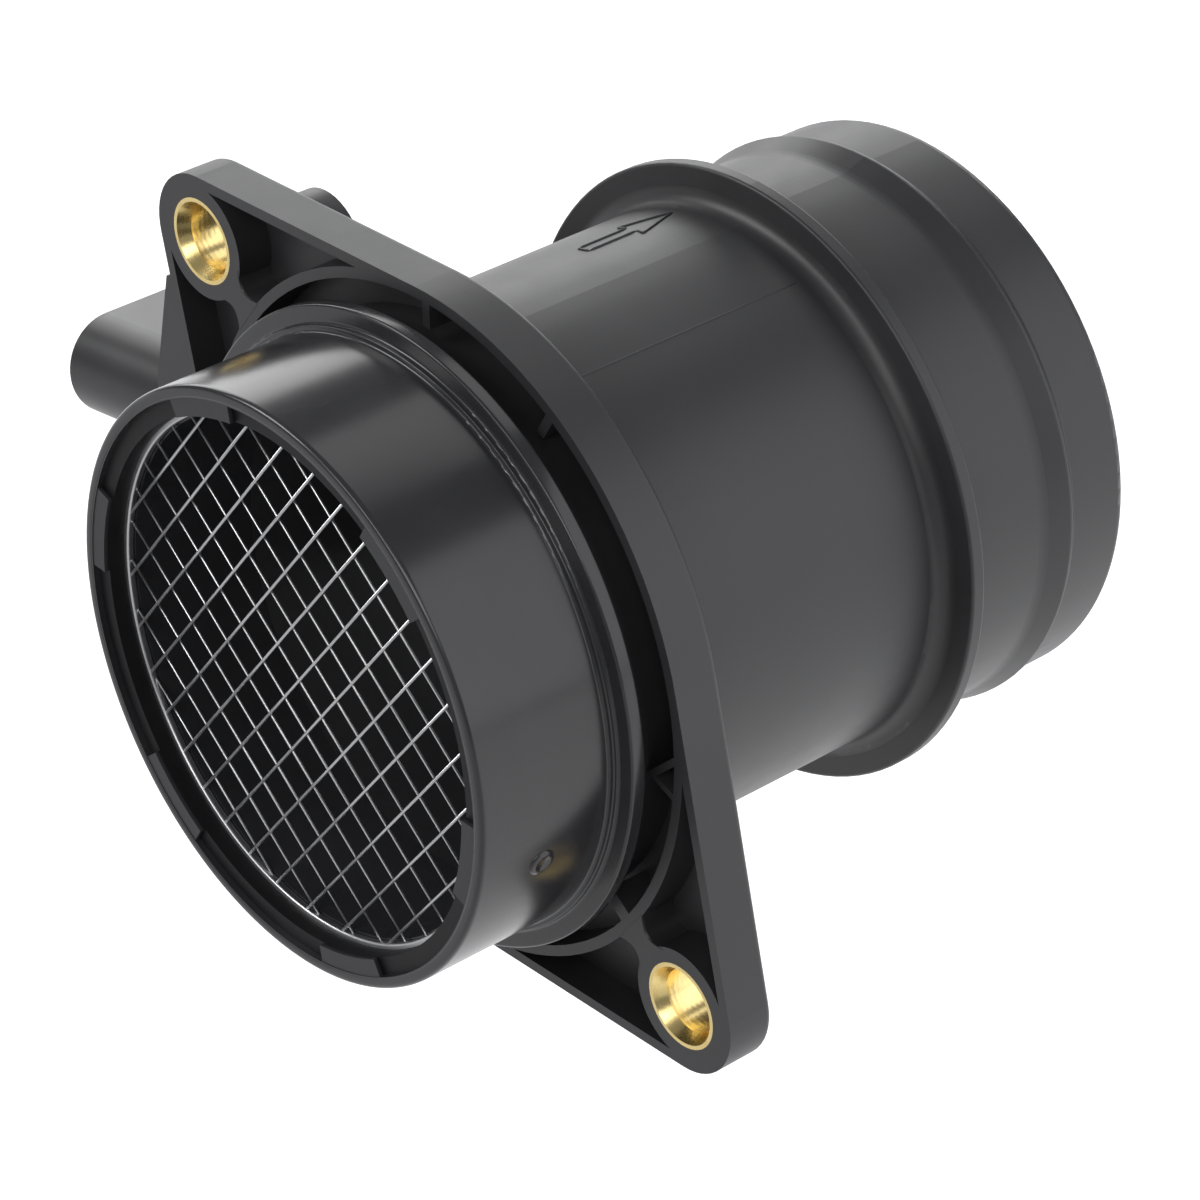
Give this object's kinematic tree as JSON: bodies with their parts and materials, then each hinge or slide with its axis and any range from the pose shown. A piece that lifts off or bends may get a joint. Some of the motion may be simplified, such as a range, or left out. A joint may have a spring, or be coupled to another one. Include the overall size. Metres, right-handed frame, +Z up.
{
  "type": "mass airflow sensor",
  "caption": "Round plastic duct with a two-eared bolt flange, a wire screen in the inlet and a plug-in hot-film sensor with a side connector.",
  "frame": {"origin": "centre of the duct on the flange's mounting face, which looks along -X", "axes": "+X along the duct in the direction of flow, +Z up, +Y to the connector side; the ears lie on a line turned 36.4 degrees from +Y towards +Z"},
  "size_m": [0.0959, 0.1299, 0.0816],
  "materials": {
    "housing_plastic": "satin black glass-filled plastic",
    "brass": "bright brass",
    "screen_steel": "plain steel wire",
    "ring_plastic": "satin black plastic",
    "module_plastic": "satin black plastic",
    "carrier_steel": "plain sheet steel",
    "ceramic": "circuit board with black packages",
    "chip": "polished silicon",
    "thermistor": "glass bead on wire legs",
    "seal_rubber": "moulded rubber",
    "terminal_brass": "tinned brass",
    "screw_steel": "zinc-plated steel"
  },
  "bodies": {
    "root": {"housing": "housing_plastic", "upper_bush": "brass", "lower_bush": "brass", "wire_screen": "screen_steel", "screen_ring": "ring_plastic", "module_body": "module_plastic", "electronics_cover": "module_plastic", "bypass_cover": "module_plastic", "carrier_plate": "carrier_steel", "circuit_board": "ceramic", "sensing_chip": "chip", "air_temperature_sensor": "thermistor", "module_seal": "seal_rubber", "terminal_1": "terminal_brass", "terminal_2": "terminal_brass", "terminal_3": "terminal_brass", "terminal_4": "terminal_brass", "terminal_5": "terminal_brass", "module_screw_front": "screw_steel", "module_screw_rear": "screw_steel"}
  },
  "joints": []
}
